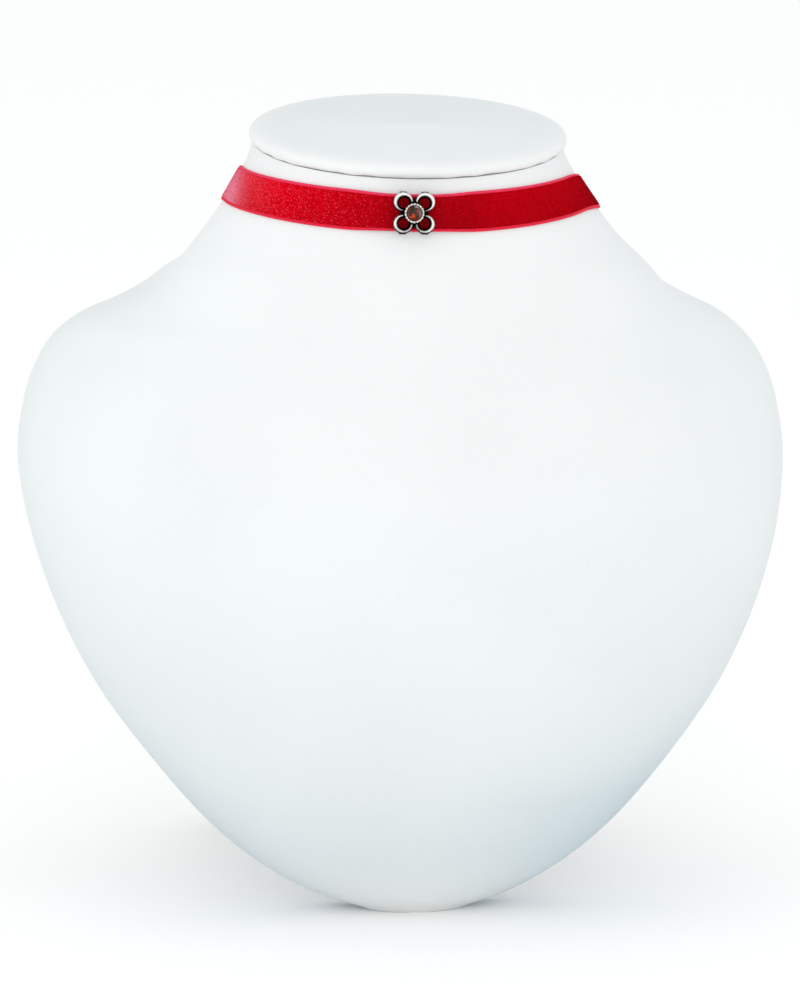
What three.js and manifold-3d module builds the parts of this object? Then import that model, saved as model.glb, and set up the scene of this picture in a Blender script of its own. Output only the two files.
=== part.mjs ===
// A velvet ribbon choker with a cast flower slider and a set stone, on a plain white neck bust.
// Millimetres, +Z up. The bust faces -Y and stands on z = 0 on the tip of its chest and an easel strut.
import * as THREE from "three";
import { mergeVertices } from "three/addons/utils/BufferGeometryUtils.js";
import Module from "manifold-3d";

const wasm = await Module();
wasm.setup();

// Driving dimensions: the bust
const BUST_WIDTH = 239; // across the shoulders, at their widest
const SHOULDER_HEIGHT = 190; // floor to where the shoulders run into the neck
const CHEST_DEPTH = 84; // front of the chest before the flat back
const RIM_THICKNESS = 7; // the widest line of the chest stands this far before the flat back
const BACK_LEAN = THREE.MathUtils.degToRad(18); // the flat back leans away from the viewer
const NECK_WIDTH = 94; // at the cut top
const NECK_DEPTH = 80; // at the cut top, front to back
const NECK_RISE = 44; // shoulders to the centre of the cut top
const NECK_AXIS = 23; // the neck's axis stands this far behind the foot of the flat back
const NECK_LEAN = 5; // and comes forward this much on the way up to the cut top
const NECK_SWAY = -1.9; // and stands this far to the viewer's right (here, to the left) by then
const TOP_TILT = THREE.MathUtils.degToRad(8.8); // the cut top slopes down towards the front
const CAP_THICKNESS = 4.5;
const CAP_OVERHANG = 1.2; // the cap reaches this far past the neck all round
const SEAT_GAP = 0.3; // between pieces that rest on each other

// Driving dimensions: the easel strut
const STRUT_THICKNESS = 3;
const STRUT_TAB_LENGTH = 26; // the glued end that lies flat against the back
const STRUT_TAB_WIDTH = 56;
const STRUT_FOOT_WIDTH = 104;
const STRUT_BEND_DROP = 52; // the fold between tab and leg lies this far below the shoulders
const STRUT_SPREAD = 52; // the foot lands this far behind the fold

// Driving dimensions: the choker
const RIBBON_WIDTH = 12;
const RIBBON_THICKNESS = 1.5; // through the pile
const SELVEDGE_THICKNESS = 1;
const SELVEDGE_WIDTH = 0.9;
const RIBBON_RISE = 30.6; // shoulders to the ribbon's centreline at the sides of the neck
const RIBBON_DIP_FRONT = 2.4; // the ribbon hangs this much lower at the front than at the sides
const RIBBON_DIP_BACK = 9;
const FRONT_DIP_POWER = 2; // how slowly the dip starts on the way to the front
const BACK_DIP_POWER = 1.5;
const BACK_DIP_START = 0.2; // the back's dip starts this share of the way before the sides
const BACK_DIP_TURN = THREE.MathUtils.degToRad(12); // and is deepest this far to the viewer's right
const RIBBON_SKEW = 0.3; // and this much lower on the viewer's right, higher on the left
const RIBBON_PINCH = 0.5; // the slider's loops press each edge in by this much
const RIBBON_GAP = 0.4; // between the ribbon and the neck
const RIBBON_SPREAD = 1.13; // the neck is this much wider at the ribbon than at the cut top
const FLOWER_TURN = THREE.MathUtils.degToRad(-4.7); // the flower sits a little left of the bust's middle

// Driving dimensions: the clasp
const CLASP_LENGTH = 24; // along the ribbon, over both jaws
const CLASP_BRIDGE = 8; // solid metal between the two ribbon ends
const CLASP_WALL = 0.9;
const CLASP_CLEARANCE = 0.35; // round the ribbon's ends

// Driving dimensions: the flower slider and its stone
const PETAL_RADIUS = 2.88;
const PETAL_OFFSET = 3.25; // petal centres from the flower's centre, sideways and up
const PETAL_HEIGHT = 1.7;
const PETAL_HOLE_RADIUS = 1.55;
const PETAL_HOLE_SHIFT = 0.3; // the hole lies this much nearer the flower's centre, so the ring is a crescent
const WEB_REACH = 4.1; // the low webs that tie neighbouring petals together, from the flower's centre
const WEB_WIDTH = 1.3;
const WEB_HEIGHT = 0.6;
const CUP_RADIUS = 2.95;
const CUP_HEIGHT = 2.7;
const CUP_WALL = 0.45;
const CUP_FLOOR = 0.8;
const CUP_SCALLOPS = 18;
const SCALLOP_DEPTH = 0.12;
const SLIDER_CLEARANCE = 0.4; // between slider and ribbon, before and behind it
const SLIDER_SIDE_CLEARANCE = 0.3; // at the ribbon's two edges
const LOOP_THICKNESS = 0.45;
const LOOP_WIDTH = 2;
const STONE_CLEARANCE = 0.1;
const STONE_CROWN = 1.0; // girdle to table
const STONE_GIRDLE = 0.3;
const STONE_PAVILION = 1.2; // girdle to the point below
const STONE_TABLE_SHARE = 0.56; // table width as a share of the girdle's

// How finely the curved pieces are divided
const BODY_STEPS = 50;
const BODY_SIDES = 60;
const CAP_SIDES = 60;
const RIBBON_STEPS = 96;
const PETAL_SIDES = 24;
const SCALLOP_SIDES = 4;

// The chest and shoulders, from the tip upwards. height is a share of SHOULDER_HEIGHT, half of half the
// BUST_WIDTH, front of CHEST_DEPTH and side of the way from the rim to the neck's axis. power is how square
// the front of the section is: 2 is an ellipse.
const CHEST_ROWS = [
  { height: -0.03, half: 0.05, front: 0.09, side: 0, power: 2 },
  { height: 0, half: 0.125, front: 0.15, side: 0, power: 2 },
  { height: 0.03, half: 0.262, front: 0.24, side: 0, power: 2 },
  { height: 0.08, half: 0.406, front: 0.37, side: 0, power: 2 },
  { height: 0.15, half: 0.54, front: 0.52, side: 0, power: 2.1 },
  { height: 0.25, half: 0.68, front: 0.69, side: 0, power: 2.2 },
  { height: 0.36, half: 0.81, front: 0.82, side: 0, power: 2.25 },
  { height: 0.48, half: 0.909, front: 0.91, side: 0, power: 2.3 },
  { height: 0.6, half: 0.973, front: 0.965, side: 0, power: 2.3 },
  { height: 0.71, half: 1, front: 1, side: 0, power: 2.2 },
  { height: 0.8, half: 0.982, front: 1.02, side: 0.05, power: 2.1 },
  { height: 0.86, half: 0.952, front: 1.03, side: 0.15, power: 2 },
  { height: 0.9, half: 0.906, front: 1.035, side: 0.25, power: 1.9 },
  { height: 0.93, half: 0.846, front: 1.04, side: 0.55, power: 1.8 },
  { height: 0.965, half: 0.75, front: 1.045, side: 0.8, power: 1.8 },
  { height: 1, half: 0.644, front: 1.055, side: 0.95, power: 1.9 },
];

// The neck, from the shoulders to the cut top. rise is a share of NECK_RISE, half of half the NECK_WIDTH,
// deep of half the NECK_DEPTH, lean of NECK_LEAN and NECK_SWAY, and tilt of TOP_TILT.
const NECK_ROWS = [
  { rise: 0.15, half: 1.512, deep: 1.225, lean: 0, tilt: 0.05 },
  { rise: 0.35, half: 1.36, deep: 1.19, lean: 0.1, tilt: 0.2 },
  { rise: 0.6, half: 1.19, deep: 1.133, lean: 0.4, tilt: 0.5 },
  { rise: 0.85, half: 1.05, deep: 1.06, lean: 0.8, tilt: 0.85 },
  { rise: 1, half: 1, deep: 1, lean: 1, tilt: 1 },
];
const BACK_POWER = 5; // how square the back of a chest section is
const BACK_OVERRUN = 6; // the chest is lofted this far through the flat back, then cut off

// Where the flat back is at a height.
const backAt = (height) => height * Math.tan(BACK_LEAN);
const signedPower = (value, power) => Math.sign(value) * Math.abs(value) ** power;

const chestSections = CHEST_ROWS.map((row) => {
  const z = row.height * SHOULDER_HEIGHT;
  const y = THREE.MathUtils.lerp(backAt(z) - RIM_THICKNESS, NECK_AXIS, row.side);
  return {
    z,
    y,
    half: (row.half * BUST_WIDTH) / 2,
    front: y - backAt(z) + row.front * CHEST_DEPTH,
    back: backAt(z) - y + BACK_OVERRUN,
    power: row.power,
    backPower: BACK_POWER,
    tilt: 0,
    x: 0,
  };
});

const neckSections = NECK_ROWS.map((row) => ({
  z: SHOULDER_HEIGHT + row.rise * NECK_RISE,
  y: NECK_AXIS - row.lean * NECK_LEAN,
  half: (row.half * NECK_WIDTH) / 2,
  front: (row.deep * NECK_DEPTH) / 2,
  back: (row.deep * NECK_DEPTH) / 2,
  power: 2,
  backPower: 2,
  tilt: row.tilt * TOP_TILT,
  x: row.lean * NECK_SWAY,
}));
const sections = [...chestSections, ...neckSections];
const TOP_ROW = sections.length - 1;

// The section at row number t, whole or between two rows, on a smooth curve through the rows.
function sectionAt(t) {
  const i = Math.min(Math.floor(t), TOP_ROW - 1);
  const f = t - i;
  const [a, b, c, d] = [i - 1, i, i + 1, i + 2].map((k) => sections[THREE.MathUtils.clamp(k, 0, TOP_ROW)]);
  const blend = (key) => {
    const inSlope = (c[key] - a[key]) / 2;
    const outSlope = (d[key] - b[key]) / 2;
    const bend = 3 * (c[key] - b[key]) - 2 * inSlope - outSlope;
    const twist = inSlope + outSlope - 2 * (c[key] - b[key]);
    return b[key] + f * (inSlope + f * (bend + f * twist));
  };
  return Object.fromEntries(Object.keys(b).map((key) => [key, blend(key)]));
}

// A point of the bust's surface: row number t, and turn round from the front (0) towards +X.
function bustPoint(t, turn) {
  const s = sectionAt(t);
  const forward = Math.cos(turn);
  const power = forward >= 0 ? s.power : s.backPower;
  const reach = (forward >= 0 ? s.front : s.back) * signedPower(forward, 2 / power);
  return new THREE.Vector3(
    s.x + s.half * signedPower(Math.sin(turn), 2 / power),
    s.y - reach * Math.cos(s.tilt),
    s.z - reach * Math.sin(s.tilt),
  );
}

// A closed solid through rings of points, each ring the same number of points, with flat ends.
function loft(rings) {
  const sides = rings[0].length;
  const positions = rings.flat().flatMap((p) => [p.x, p.y, p.z]);
  const index = [];
  for (let i = 0; i + 1 < rings.length; i++)
    for (let k = 0; k < sides; k++) {
      const here = i * sides + k;
      const next = i * sides + ((k + 1) % sides);
      index.push(here, next, next + sides, here, next + sides, here + sides);
    }
  for (const [ring, first] of [[rings[0], 0], [rings.at(-1), (rings.length - 1) * sides]]) {
    const centre = ring.reduce((sum, p) => sum.add(p), new THREE.Vector3()).divideScalar(sides);
    const middle = positions.length / 3;
    positions.push(centre.x, centre.y, centre.z);
    for (let k = 0; k < sides; k++) {
      const pair = [first + k, first + ((k + 1) % sides)];
      index.push(middle, ...(first === 0 ? pair.reverse() : pair));
    }
  }
  const geometry = new THREE.BufferGeometry();
  geometry.setAttribute("position", new THREE.Float32BufferAttribute(positions, 3));
  geometry.setIndex(index);
  return geometry;
}

// Geometry to solid and back, for cuts and joins.
function solidOf(geometry) {
  const bare = geometry.clone();
  bare.deleteAttribute("normal");
  bare.deleteAttribute("uv");
  const merged = mergeVertices(bare, 1e-4);
  const vertProperties = new Float32Array(merged.attributes.position.array);
  const triVerts = new Uint32Array(merged.index.array);
  return new wasm.Manifold(new wasm.Mesh({ numProp: 3, vertProperties, triVerts }));
}

function geometryOf(solid) {
  const mesh = solid.getMesh();
  const geometry = new THREE.BufferGeometry();
  geometry.setAttribute("position", new THREE.BufferAttribute(mesh.vertProperties, 3));
  geometry.setIndex(new THREE.BufferAttribute(mesh.triVerts, 1));
  return geometry;
}

const turns = (count) => Array.from({ length: count }, (_, k) => (k / count) * 2 * Math.PI);
const shares = (count) => Array.from({ length: count + 1 }, (_, k) => k / count);

// The bust: lofted through its sections, then cut flat at the back and at the floor.
const CUTTER = 3 * (BUST_WIDTH + SHOULDER_HEIGHT + NECK_RISE);

function bustBody() {
  const rings = shares(BODY_STEPS).map((share) => {
    const t = share * TOP_ROW;
    return turns(BODY_SIDES).map((turn) => bustPoint(t, turn));
  });
  const floorCut = new THREE.BoxGeometry(CUTTER, CUTTER, CUTTER).translate(0, 0, -CUTTER / 2);
  const backCut = new THREE.BoxGeometry(CUTTER, CUTTER, CUTTER)
    .translate(0, CUTTER / 2, 0)
    .rotateX(-BACK_LEAN);
  return geometryOf(solidOf(loft(rings)).subtract(solidOf(floorCut)).subtract(solidOf(backCut)));
}

// The cap: an oval disc with a rolled edge, lying on the cut top of the neck.
const CAP_PROFILE = [
  { out: -0.6, up: 0 },
  { out: 0.4, up: 0.06 },
  { out: 1, up: 0.42 },
  { out: 0.75, up: 0.78 },
  { out: -0.4, up: 0.97 },
  { out: -3, up: 1 },
];

function neckCap() {
  const top = sectionAt(TOP_ROW);
  const up = new THREE.Vector3(0, -Math.sin(top.tilt), Math.cos(top.tilt));
  const rings = CAP_PROFILE.map(({ out, up: level }) => {
    const grow = out * CAP_OVERHANG;
    return turns(CAP_SIDES).map((turn) => {
      const reach = (top.front + grow) * Math.cos(turn);
      const edge = new THREE.Vector3(
        top.x + (top.half + grow) * Math.sin(turn),
        top.y - reach * Math.cos(top.tilt),
        top.z - reach * Math.sin(top.tilt),
      );
      return edge.addScaledVector(up, SEAT_GAP + level * CAP_THICKNESS);
    });
  });
  return loft(rings);
}

// The strut: a board bent once, its tab flat against the back and its leg down to the floor.
function easelStrut() {
  const alongBack = new THREE.Vector2(Math.sin(BACK_LEAN), Math.cos(BACK_LEAN));
  const outOfBack = new THREE.Vector2(Math.cos(BACK_LEAN), -Math.sin(BACK_LEAN));
  const onBack = (height) => new THREE.Vector2(backAt(height), height);
  const fold = onBack(SHOULDER_HEIGHT - STRUT_BEND_DROP).addScaledVector(outOfBack, SEAT_GAP);
  const tabTop = fold.clone().addScaledVector(alongBack, STRUT_TAB_LENGTH);
  const foot = new THREE.Vector2(fold.x + STRUT_SPREAD, 0);
  const leg = foot.clone().sub(fold);
  const footDepth = (STRUT_THICKNESS * leg.length()) / Math.abs(leg.y); // the board cut level at the floor
  const outerFold = fold.clone().addScaledVector(outOfBack, STRUT_THICKNESS);
  const stations = [
    [foot, new THREE.Vector2(foot.x + footDepth, 0), STRUT_FOOT_WIDTH],
    [fold, outerFold, STRUT_TAB_WIDTH],
    [tabTop, tabTop.clone().addScaledVector(outOfBack, STRUT_THICKNESS), STRUT_TAB_WIDTH],
  ];
  return loft(
    stations.map(([inner, outer, width]) => [
      new THREE.Vector3(-width / 2, inner.x, inner.y),
      new THREE.Vector3(width / 2, inner.x, inner.y),
      new THREE.Vector3(width / 2, outer.x, outer.y),
      new THREE.Vector3(-width / 2, outer.x, outer.y),
    ]),
  );
}

// The ribbon's path: where the neck meets the ribbon's own plane, at a turn from the front.
const NECK_FOOT_ROW = CHEST_ROWS.length - 1;

function neckRowAt(turn) {
  const forward = Math.cos(turn);
  const frontDip = RIBBON_DIP_FRONT * Math.max(forward, 0) ** FRONT_DIP_POWER;
  const behind = Math.max(BACK_DIP_START - Math.cos(turn + BACK_DIP_TURN), 0);
  const backDip = RIBBON_DIP_BACK * behind ** BACK_DIP_POWER;
  const height = SHOULDER_HEIGHT + RIBBON_RISE - frontDip - backDip - RIBBON_SKEW * Math.sin(turn);
  let [low, high] = [NECK_FOOT_ROW, TOP_ROW];
  for (let i = 0; i < 40; i++) {
    const middle = (low + high) / 2;
    if (bustPoint(middle, turn).z < height) low = middle;
    else high = middle;
  }
  return (low + high) / 2;
}

// Axes of the ribbon at a turn: its centre on the neck, along, across (upwards) and out of the neck.
function ribbonAxes(turn) {
  const step = 0.01;
  const row = neckRowAt(turn);
  const centre = bustPoint(row, turn);
  const before = bustPoint(neckRowAt(turn - step), turn - step);
  const after = bustPoint(neckRowAt(turn + step), turn + step);
  const along = after.sub(before).normalize();
  const upwards = bustPoint(row + step, turn).sub(bustPoint(row - step, turn));
  const out = along.clone().cross(upwards).normalize();
  const across = out.clone().cross(along).normalize();
  return { centre, along, across, out };
}

// The ribbon stands off the neck where the slider's loops and the clasp's jaw pass behind it.
const SLIDER_STAND = SEAT_GAP + LOOP_THICKNESS + SLIDER_CLEARANCE;
const CLASP_STAND = SEAT_GAP + CLASP_WALL + CLASP_CLEARANCE;
const neckRadius = (RIBBON_SPREAD * (NECK_WIDTH + NECK_DEPTH)) / 4; // at the ribbon, on average
const SLIDER_REACH = (PETAL_OFFSET + PETAL_RADIUS) / neckRadius; // as a turn
const CLASP_REACH = CLASP_LENGTH / 2 / neckRadius;

function rampUp(turn, at, reach) {
  const away = Math.abs(THREE.MathUtils.euclideanModulo(turn - at + Math.PI, 2 * Math.PI) - Math.PI);
  return 1 - THREE.MathUtils.smoothstep(away, reach, 3.2 * reach);
}

function narrowing(turn) {
  return 1 - (RIBBON_PINCH / (RIBBON_WIDTH / 2)) * rampUp(turn, FLOWER_TURN, SLIDER_REACH);
}

function standOff(turn) {
  const slider = Math.max(SLIDER_STAND - RIBBON_GAP, 0) * rampUp(turn, FLOWER_TURN, SLIDER_REACH);
  const clasp = Math.max(CLASP_STAND - RIBBON_GAP, 0) * rampUp(turn, Math.PI, CLASP_REACH);
  return RIBBON_GAP + slider + clasp;
}

// A point on or near the ribbon: share across it from its middle, and distance out of its inner face.
function ribbonPoint(turn, across, out) {
  const axes = ribbonAxes(turn);
  return axes.centre
    .addScaledVector(axes.across, across)
    .addScaledVector(axes.out, standOff(turn) + out);
}

// The turn at a distance from the middle of the back, along the ribbon.
const backTurn = (distance) => Math.PI - distance / neckRadius;

// A band that follows the ribbon between two turns, with the given outline across it.
function band(from, to, steps, outline) {
  const rings = shares(steps).map((share) => {
    const turn = THREE.MathUtils.lerp(from, to, share);
    return outline.map(([across, out]) => ribbonPoint(turn, across * narrowing(turn), out));
  });
  return loft(rings);
}

function rectangle(half, inner, outer) {
  return [[-half, inner], [half, inner], [half, outer], [-half, outer]];
}

function velvetRibbon() {
  const half = RIBBON_WIDTH / 2;
  const pile = half - SELVEDGE_WIDTH;
  const outline = [
    [-half, 0],
    [half, 0],
    [half, SELVEDGE_THICKNESS],
    [pile, SELVEDGE_THICKNESS],
    [pile * 0.93, RIBBON_THICKNESS],
    [-pile * 0.93, RIBBON_THICKNESS],
    [-pile, SELVEDGE_THICKNESS],
    [-half, SELVEDGE_THICKNESS],
  ];
  const end = backTurn(CLASP_BRIDGE / 2 + CLASP_CLEARANCE);
  return band(-end, end, RIBBON_STEPS, outline);
}

// The clasp: a curved bar across the gap between the ribbon's ends, with a pocket for each end.
function backClasp() {
  const reach = backTurn(CLASP_LENGTH / 2);
  const half = RIBBON_WIDTH / 2 + CLASP_CLEARANCE;
  const outer = rectangle(
    half + CLASP_WALL,
    -CLASP_CLEARANCE - CLASP_WALL,
    RIBBON_THICKNESS + CLASP_CLEARANCE + CLASP_WALL,
  );
  const pocket = rectangle(half, -CLASP_CLEARANCE, RIBBON_THICKNESS + CLASP_CLEARANCE);
  const beyond = 2 * reach - Math.PI; // the pocket runs out past the clasp's mouth
  const bar = band(reach, 2 * Math.PI - reach, 10, outer);
  const bridge = backTurn(CLASP_BRIDGE / 2);
  const right = band(beyond, bridge, 8, pocket);
  const left = band(2 * Math.PI - bridge, 2 * Math.PI - beyond, 8, pocket);
  return geometryOf(solidOf(bar).subtract(solidOf(right)).subtract(solidOf(left)));
}

// The flower slider, in its own frame: x along the ribbon, y up across it, z out of its pile.
const PETAL_SECTION = [
  { wide: 0, high: 0 },
  { wide: 0, high: 0.4 },
  { wide: 0.35, high: 0.75 },
  { wide: 0.62, high: 1 },
  { wide: 0.88, high: 0.85 },
  { wide: 1, high: 0.55 },
  { wide: 1, high: 0 },
];

function petal(sideways, upwards) {
  const centre = new THREE.Vector2(sideways, upwards).multiplyScalar(PETAL_OFFSET);
  const hole = centre.clone().sub(centre.clone().setLength(PETAL_HOLE_SHIFT));
  const rings = turns(PETAL_SIDES).map((turn) => {
    const way = new THREE.Vector2(Math.cos(turn), Math.sin(turn));
    const inner = hole.clone().addScaledVector(way, PETAL_HOLE_RADIUS);
    const outer = centre.clone().addScaledVector(way, PETAL_RADIUS);
    return PETAL_SECTION.map(({ wide, high }) => {
      const p = inner.clone().lerp(outer, wide);
      return new THREE.Vector3(p.x, p.y, SLIDER_CLEARANCE + high * PETAL_HEIGHT);
    });
  });
  return closedLoft(rings);
}

// A ring-shaped solid: the last ring of points joins the first.
function closedLoft(rings) {
  const sides = rings[0].length;
  const index = [];
  rings.forEach((_, i) => {
    const nextRing = ((i + 1) % rings.length) * sides;
    for (let k = 0; k < sides; k++) {
      const [a, b] = [i * sides + k, i * sides + ((k + 1) % sides)];
      const [c, d] = [nextRing + ((k + 1) % sides), nextRing + k];
      index.push(a, b, c, a, c, d);
    }
  });
  const geometry = new THREE.BufferGeometry();
  const positions = rings.flat().flatMap((p) => [p.x, p.y, p.z]);
  geometry.setAttribute("position", new THREE.Float32BufferAttribute(positions, 3));
  geometry.setIndex(index);
  return geometry;
}

// The stone's cup: a scalloped wall round a flat seat.
const CUP_SECTION = [
  { grow: 0.1, high: 0 },
  { grow: 0.1, high: 0.35 },
  { grow: -0.15, high: 0.55 },
  { grow: 0, high: 0.86 },
  { grow: -0.12, high: 1 },
];

function cup() {
  const around = CUP_SCALLOPS * SCALLOP_SIDES;
  const wall = CUP_SECTION.map(({ grow, high }) =>
    turns(around).map((turn) => {
      const scallop = SCALLOP_DEPTH * Math.abs(Math.sin((turn * CUP_SCALLOPS) / 2));
      const radius = CUP_RADIUS - SCALLOP_DEPTH + grow + scallop;
      return new THREE.Vector3(
        radius * Math.cos(turn),
        radius * Math.sin(turn),
        SLIDER_CLEARANCE + high * CUP_HEIGHT,
      );
    }),
  );
  return loft(wall);
}

const STONE_RADIUS = CUP_RADIUS - CUP_WALL - SCALLOP_DEPTH - STONE_CLEARANCE;
const CUP_TOP = SLIDER_CLEARANCE + CUP_HEIGHT;
const GIRDLE_TOP = CUP_TOP - 0.1; // the wall's lip stands just past the stone's girdle

function stoneSeat() {
  const radius = STONE_RADIUS + STONE_CLEARANCE;
  const depth = GIRDLE_TOP - SLIDER_CLEARANCE - CUP_FLOOR;
  return new THREE.CylinderGeometry(radius, radius, 2 * depth, 40)
    .rotateX(Math.PI / 2)
    .translate(0, 0, SLIDER_CLEARANCE + CUP_FLOOR + depth);
}

// The two loops behind the ribbon, one behind each pair of petals.
function loops() {
  const slot = RIBBON_WIDTH / 2 - RIBBON_PINCH + SLIDER_SIDE_CLEARANCE;
  const back = -RIBBON_THICKNESS - SLIDER_CLEARANCE;
  const height = SLIDER_CLEARANCE + PETAL_HEIGHT * 0.5 - back + LOOP_THICKNESS;
  const solids = [];
  for (const side of [-1, 1]) {
    const x = side * PETAL_OFFSET;
    const bar = new THREE.BoxGeometry(LOOP_WIDTH, 2 * (slot + LOOP_THICKNESS), LOOP_THICKNESS);
    solids.push(solidOf(bar.translate(x, 0, back - LOOP_THICKNESS / 2)));
    for (const end of [-1, 1]) {
      const leg = new THREE.BoxGeometry(LOOP_WIDTH, LOOP_THICKNESS, height);
      leg.translate(x, end * (slot + LOOP_THICKNESS / 2), back - LOOP_THICKNESS + height / 2);
      solids.push(solidOf(leg));
    }
  }
  return solids;
}

// The leg tops reach in over the ribbon's edge to the petals.
function shoulders() {
  const slot = RIBBON_WIDTH / 2 - RIBBON_PINCH + SLIDER_SIDE_CLEARANCE;
  const inner = PETAL_OFFSET + PETAL_HOLE_RADIUS;
  const solids = [];
  for (const side of [-1, 1])
    for (const end of [-1, 1]) {
      const length = slot + LOOP_THICKNESS - inner;
      const block = new THREE.BoxGeometry(LOOP_WIDTH, length, PETAL_HEIGHT * 0.5);
      block.translate(
        side * PETAL_OFFSET,
        end * (inner + length / 2),
        SLIDER_CLEARANCE + PETAL_HEIGHT * 0.25,
      );
      solids.push(solidOf(block));
    }
  return solids;
}

// The webs: a low cross behind the cup that joins each petal to its neighbours.
function webs() {
  const bar = () => new THREE.BoxGeometry(2 * WEB_REACH, WEB_WIDTH, WEB_HEIGHT);
  const level = SLIDER_CLEARANCE + WEB_HEIGHT / 2;
  return [
    solidOf(bar().translate(0, 0, level)),
    solidOf(bar().rotateZ(Math.PI / 2).translate(0, 0, level)),
  ];
}

function flowerSlider() {
  const petals = [];
  for (const sideways of [-1, 1])
    for (const upwards of [-1, 1]) petals.push(solidOf(petal(sideways, upwards)));
  const joined = [...petals, ...webs(), ...loops(), ...shoulders()].reduce((a, b) => a.add(b));
  return geometryOf(joined.add(solidOf(cup())).subtract(solidOf(stoneSeat())));
}

// The stone: a round brilliant. Rings of corners from the table down to the point, and the facets between.
function centreStone() {
  const ring = (radius, z, count, offset) =>
    turns(count).map((turn) => {
      const at = turn + (offset * Math.PI) / 8;
      return new THREE.Vector3(radius * Math.cos(at), radius * Math.sin(at), z);
    });
  const table = ring(STONE_RADIUS * STONE_TABLE_SHARE, GIRDLE_TOP + STONE_CROWN, 8, 0);
  const star = ring(STONE_RADIUS * 0.78, GIRDLE_TOP + STONE_CROWN * 0.58, 8, 1);
  const girdle = ring(STONE_RADIUS, GIRDLE_TOP, 16, 0);
  const below = ring(STONE_RADIUS, GIRDLE_TOP - STONE_GIRDLE, 16, 0);
  const point = new THREE.Vector3(0, 0, GIRDLE_TOP - STONE_GIRDLE - STONE_PAVILION);
  const middle = new THREE.Vector3(0, 0, GIRDLE_TOP + STONE_CROWN);
  const faces = [];
  for (let k = 0; k < 8; k++) {
    const n = (k + 1) % 8;
    const [corner, between, next] = [girdle[2 * k], girdle[2 * k + 1], girdle[2 * n]];
    const before = star[(k + 7) % 8];
    faces.push([middle, table[k], table[n]]); // the table
    faces.push([table[k], star[k], table[n]]); // a star facet
    faces.push([table[k], before, corner], [table[k], corner, star[k]]); // a kite facet
    faces.push([star[k], corner, between], [star[k], between, next]); // two girdle facets
  }
  for (let k = 0; k < 16; k++) {
    const n = (k + 1) % 16;
    faces.push([girdle[k], below[k], below[n]], [girdle[k], below[n], girdle[n]]);
    faces.push([below[k], point, below[n]]);
  }
  const geometry = new THREE.BufferGeometry();
  const positions = faces.flat().flatMap((p) => [p.x, p.y, p.z]);
  geometry.setAttribute("position", new THREE.Float32BufferAttribute(positions, 3));
  return mergeVertices(geometry, 1e-4);
}

// Materials
const leatherette = new THREE.MeshStandardMaterial({ color: 0xeef3f3, roughness: 0.5 });
const board = new THREE.MeshStandardMaterial({ color: 0xe4e8e8, roughness: 0.7 });
const velvet = new THREE.MeshStandardMaterial({ color: 0xb00313, roughness: 1 });
const silver = new THREE.MeshStandardMaterial({ color: 0xc9c9c5, roughness: 0.3, metalness: 1 });
const redStone = new THREE.MeshStandardMaterial({ color: 0x7a1a0c, roughness: 0.05 });

function named(name, geometry, material) {
  const mesh = new THREE.Mesh(geometry, material);
  mesh.name = name;
  return mesh;
}

// The flower and its stone sit on the ribbon's pile, facing out of the neck.
const flower = new THREE.Group();
flower.add(
  named("flower_slider", flowerSlider(), silver),
  named("centre_stone", centreStone(), redStone),
);
const seat = ribbonAxes(FLOWER_TURN);
flower.quaternion.setFromRotationMatrix(new THREE.Matrix4().makeBasis(seat.along, seat.across, seat.out));
flower.position.copy(ribbonPoint(FLOWER_TURN, 0, RIBBON_THICKNESS));

const model = new THREE.Group();
model.add(
  named("bust_body", bustBody(), leatherette),
  named("neck_cap", neckCap(), leatherette),
  named("easel_strut", easelStrut(), board),
  named("velvet_ribbon", velvetRibbon(), velvet),
  named("back_clasp", backClasp(), silver),
  flower,
);

// The frame's origin is under the middle of the whole piece, on the floor.
const whole = new THREE.Box3().setFromObject(model);
model.position.y = -(whole.min.y + whole.max.y) / 2;

const part = new THREE.Group();
part.add(model);
export default part;
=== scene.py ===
# %% [markdown]
# A red velvet choker on a white neck bust, dressed over its CAD frame. The frame gives every size and place,
# so this file first reads it, then builds each piece again with the detail that a photograph shows.

import math

import bpy
import numpy as np
from mathutils import Matrix, Vector


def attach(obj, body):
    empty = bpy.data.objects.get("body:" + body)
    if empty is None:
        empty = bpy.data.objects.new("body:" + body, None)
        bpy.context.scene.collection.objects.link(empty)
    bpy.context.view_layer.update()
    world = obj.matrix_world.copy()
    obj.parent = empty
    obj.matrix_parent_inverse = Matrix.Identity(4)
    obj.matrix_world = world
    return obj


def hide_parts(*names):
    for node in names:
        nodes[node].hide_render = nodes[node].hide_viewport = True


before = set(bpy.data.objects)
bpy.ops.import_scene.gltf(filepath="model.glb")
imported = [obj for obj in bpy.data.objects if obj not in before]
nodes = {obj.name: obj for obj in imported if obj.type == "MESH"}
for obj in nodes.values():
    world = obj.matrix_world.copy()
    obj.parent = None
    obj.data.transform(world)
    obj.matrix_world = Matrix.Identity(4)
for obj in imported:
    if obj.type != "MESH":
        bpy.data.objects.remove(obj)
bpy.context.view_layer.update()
scene = bpy.context.scene

# %% [markdown]
# The bust is measured from the line where its flat back meets the floor. That line isn't the frame's origin,
# which lies under the middle of the whole piece, so it is read off the frame, as the rearmost point of the
# chest's foot. All the sizes below are in millimetres, and `to_metres` brings them to the frame.

# %% Where the flat back meets the floor
foot_points = [v.co for v in nodes["bust_body"].data.vertices if v.co.z < 1e-5]
BACK_LINE = max(p.y for p in foot_points) * 1000
print("the flat back meets the floor at y =", round(BACK_LINE, 2), "mm")


def to_metres(points):
    """Millimetres from the back line to metres in the frame."""
    points = np.asarray(points, float)
    return (points + np.array([0, BACK_LINE, 0])) / 1000


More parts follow.
